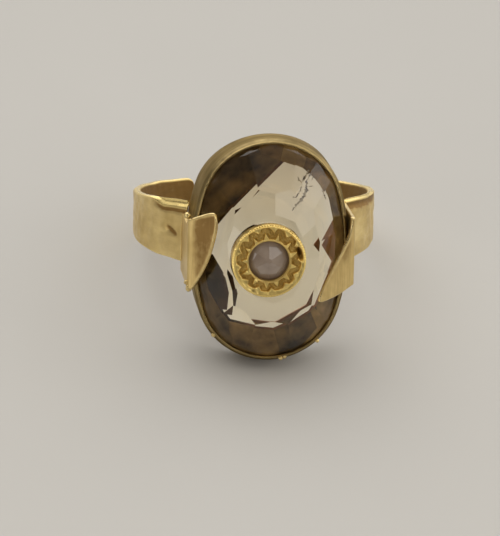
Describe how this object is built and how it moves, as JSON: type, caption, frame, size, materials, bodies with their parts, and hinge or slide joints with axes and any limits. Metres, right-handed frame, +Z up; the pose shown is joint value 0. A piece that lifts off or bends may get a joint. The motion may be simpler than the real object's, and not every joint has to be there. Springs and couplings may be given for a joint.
{
  "type": "cocktail ring",
  "caption": "Gold cocktail ring with a thin open band, a large oval faceted stone in an open-backed bezel, folded side claws and a small rose-cut stone in an engraved collet.",
  "frame": {"origin": "centre of the finger hole, halfway along the head", "axes": "the ring lies at rest as on a table: +Z is up, -Y is the side that the large stone faces, +X is to the right when the stone is looked at; the finger hole's axis leans back from +Z towards +Y"},
  "size_m": [0.0208, 0.0247, 0.0183],
  "materials": {
    "gold_band": "satin yellow gold, lightly hammered",
    "gold_claws": "brushed yellow gold",
    "gold_bezel": "polished yellow gold",
    "gold_inlay": "engraved, polished yellow gold",
    "centre_stone": "polished transparent olive-brown quartz",
    "inlay_stone": "polished cloudy grey-mauve stone"
  },
  "bodies": {
    "root": {"left_arm": "gold_band", "right_arm": "gold_band", "left_claw": "gold_claws", "right_claw": "gold_claws", "bezel_wall": "gold_bezel", "seat_frame": "gold_bezel", "centre_stone": "centre_stone", "inlay_collet": "gold_inlay", "inlay_peg": "gold_inlay", "peg_washer": "gold_inlay", "inlay_stone": "inlay_stone"}
  },
  "joints": []
}
